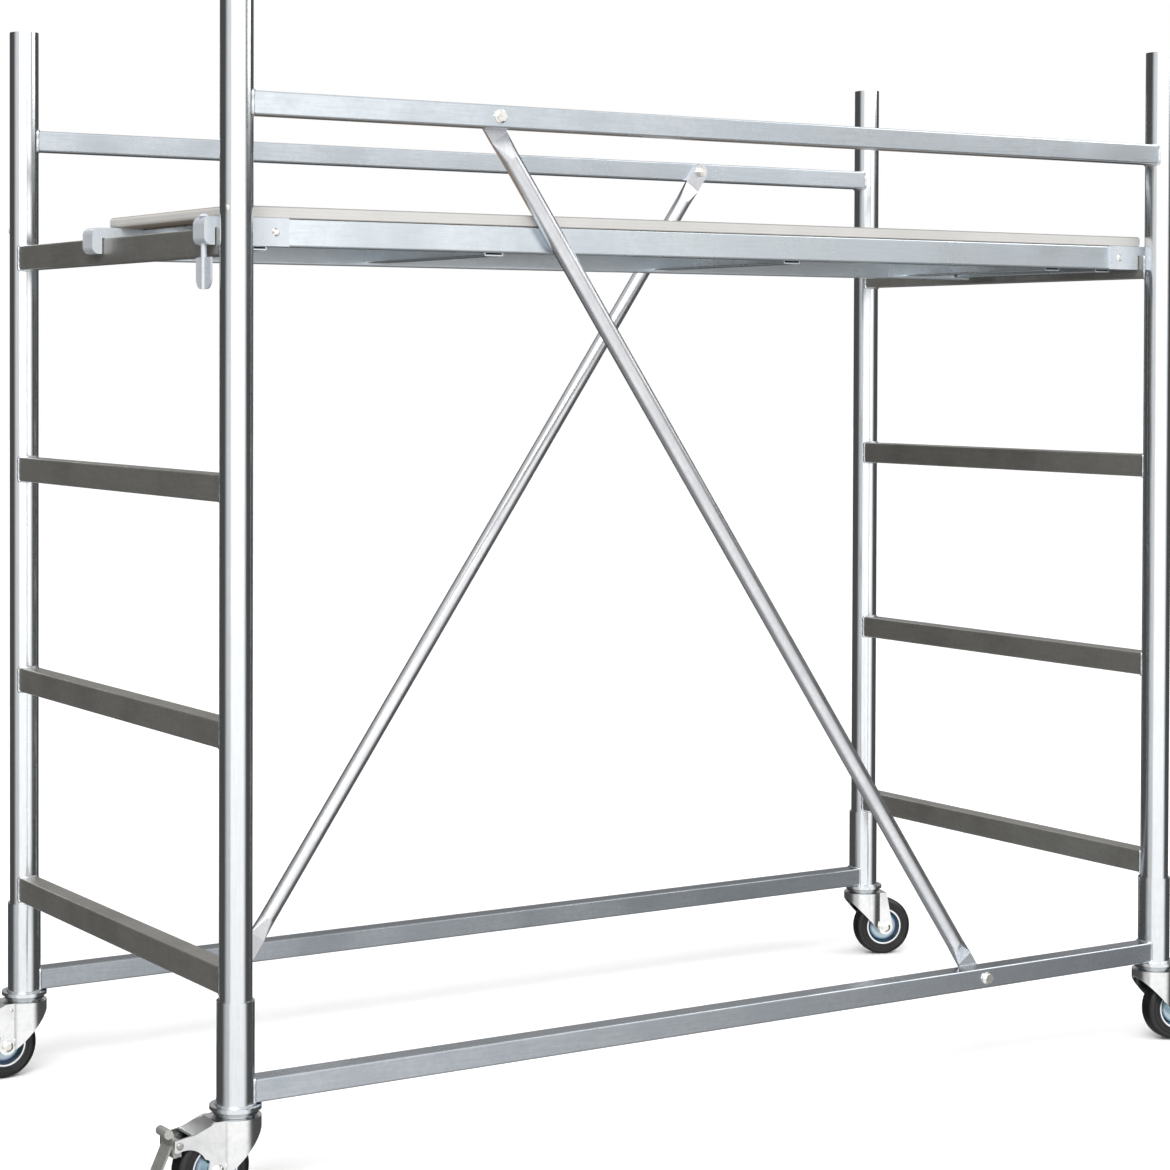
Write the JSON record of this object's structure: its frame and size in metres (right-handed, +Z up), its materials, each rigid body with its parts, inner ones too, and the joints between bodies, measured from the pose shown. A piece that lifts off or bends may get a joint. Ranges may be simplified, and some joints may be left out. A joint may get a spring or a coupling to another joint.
{
  "type": "mobile scaffold",
  "caption": "Mobile room scaffold: ladder frames on braked swivel casters, base bars, diagonal braces, guard rails and a lift-off work platform hung on the rungs.",
  "frame": {"origin": "on the floor under the middle of the whole piece", "axes": "+X along the scaffold from the braked left end to the right end, +Y across it from the platform side to the open rear side, +Z up"},
  "size_m": [1.7976, 0.7693, 1.54],
  "materials": {
    "post_zinc": "bright zinc plating, glossy",
    "rung_steel": "dark zinc plating, smudged",
    "sleeve_zinc": "bright zinc plating, glossy",
    "bar_zinc": "zinc plating, satin",
    "brace_zinc": "zinc plating, satin",
    "bolt_zinc": "bright zinc plating",
    "race_zinc": "pressed sheet, bright zinc plating",
    "deck_board": "film-faced plywood, matt",
    "beam_zinc": "zinc plating, satin, streaked",
    "claw_zinc": "bright zinc plating, glossy",
    "fork_zinc": "pressed sheet, bright zinc plating",
    "tyre": "moulded rubber, satin",
    "rim_zinc": "pressed sheet, bluish zinc plating",
    "bearing_steel": "turned steel",
    "pedal_steel": "pressed sheet, dark zinc plating"
  },
  "bodies": {
    "frame": {"front_left_post": "post_zinc", "rear_left_post": "post_zinc", "front_right_post": "post_zinc", "rear_right_post": "post_zinc", "left_rungs": "rung_steel", "right_rungs": "rung_steel", "front_left_sleeve": "sleeve_zinc", "rear_left_sleeve": "sleeve_zinc", "front_right_sleeve": "sleeve_zinc", "rear_right_sleeve": "sleeve_zinc", "front_base_bar": "bar_zinc", "rear_base_bar": "bar_zinc", "front_left_upright": "post_zinc", "rear_left_upright": "post_zinc", "front_right_upright": "post_zinc", "rear_right_upright": "post_zinc", "front_guard_rail": "bar_zinc", "rear_guard_rail": "bar_zinc", "front_brace": "brace_zinc", "rear_brace": "brace_zinc", "brace_bolts": "bolt_zinc", "brace_nuts": "bolt_zinc", "caster_races": "race_zinc", "kingpins": "bolt_zinc"},
    "platform": {"deck_board": "deck_board", "platform_front_beam": "beam_zinc", "platform_rear_beam": "beam_zinc", "platform_cross_members": "beam_zinc", "front_left_claw": "claw_zinc", "rear_left_claw": "claw_zinc", "front_right_claw": "claw_zinc", "rear_right_claw": "claw_zinc", "claw_rivets": "bolt_zinc", "deck_screws": "bolt_zinc"},
    "lock": {"lift_lock": "claw_zinc"},
    "front_left_fork": {"front_left_fork": "fork_zinc", "front_left_axle": "bolt_zinc"},
    "front_left_wheel": {"front_left_tyre": "tyre", "front_left_rim": "rim_zinc", "front_left_bearing": "bearing_steel"},
    "front_left_pedal": {"front_left_pedal": "pedal_steel"},
    "rear_left_fork": {"rear_left_fork": "fork_zinc", "rear_left_axle": "bolt_zinc"},
    "rear_left_wheel": {"rear_left_tyre": "tyre", "rear_left_rim": "rim_zinc", "rear_left_bearing": "bearing_steel"},
    "rear_left_pedal": {"rear_left_pedal": "pedal_steel"},
    "front_right_fork": {"front_right_fork": "fork_zinc", "front_right_axle": "bolt_zinc"},
    "front_right_wheel": {"front_right_tyre": "tyre", "front_right_rim": "rim_zinc", "front_right_bearing": "bearing_steel"},
    "rear_right_fork": {"rear_right_fork": "fork_zinc", "rear_right_axle": "bolt_zinc"},
    "rear_right_wheel": {"rear_right_tyre": "tyre", "rear_right_rim": "rim_zinc", "rear_right_bearing": "bearing_steel"}
  },
  "joints": [
    {"name": "front_left_swivel", "type": "hinge", "parent": "frame", "child": "front_left_fork", "pos_m": [-0.78587, -0.35, 0.11], "axis": [0, 0, 1], "continuous": true},
    {"name": "front_left_wheel_spin", "type": "hinge", "parent": "front_left_fork", "child": "front_left_wheel", "pos_m": [-0.82088, -0.35, 0.05], "axis": [0, -1, 0], "continuous": true},
    {"name": "front_left_brake", "type": "hinge", "parent": "front_left_fork", "child": "front_left_pedal", "pos_m": [-0.87287, -0.35, 0.089], "axis": [0, -1, 0], "range_deg": [0, 12]},
    {"name": "rear_left_swivel", "type": "hinge", "parent": "frame", "child": "rear_left_fork", "pos_m": [-0.78587, 0.35, 0.11], "axis": [0, 0, 1], "continuous": true},
    {"name": "rear_left_wheel_spin", "type": "hinge", "parent": "rear_left_fork", "child": "rear_left_wheel", "pos_m": [-0.82088, 0.35, 0.05], "axis": [0, -1, 0], "continuous": true},
    {"name": "rear_left_brake", "type": "hinge", "parent": "rear_left_fork", "child": "rear_left_pedal", "pos_m": [-0.87287, 0.35, 0.089], "axis": [0, -1, 0], "range_deg": [0, 12]},
    {"name": "front_right_swivel", "type": "hinge", "parent": "frame", "child": "front_right_fork", "pos_m": [0.81412, -0.35, 0.11], "axis": [0, 0, 1], "continuous": true},
    {"name": "front_right_wheel_spin", "type": "hinge", "parent": "front_right_fork", "child": "front_right_wheel", "pos_m": [0.84793, -0.35906, 0.05], "axis": [0.2588, 0.9659, 0], "continuous": true},
    {"name": "rear_right_swivel", "type": "hinge", "parent": "frame", "child": "rear_right_fork", "pos_m": [0.81412, 0.35, 0.11], "axis": [0, 0, 1], "continuous": true},
    {"name": "rear_right_wheel_spin", "type": "hinge", "parent": "rear_right_fork", "child": "rear_right_wheel", "pos_m": [0.84701, 0.33803, 0.05], "axis": [0.342, 0.9397, 0], "continuous": true},
    {"name": "platform_lift", "type": "slide", "parent": "frame", "child": "platform", "axis": [0, 0, 1], "range_m": [0, 0.3]},
    {"name": "lock_turn", "type": "hinge", "parent": "platform", "child": "lock", "pos_m": [-0.80947, -0.3055, 1.2], "axis": [0, 0, 1], "range_deg": [-90, 0]}
  ]
}
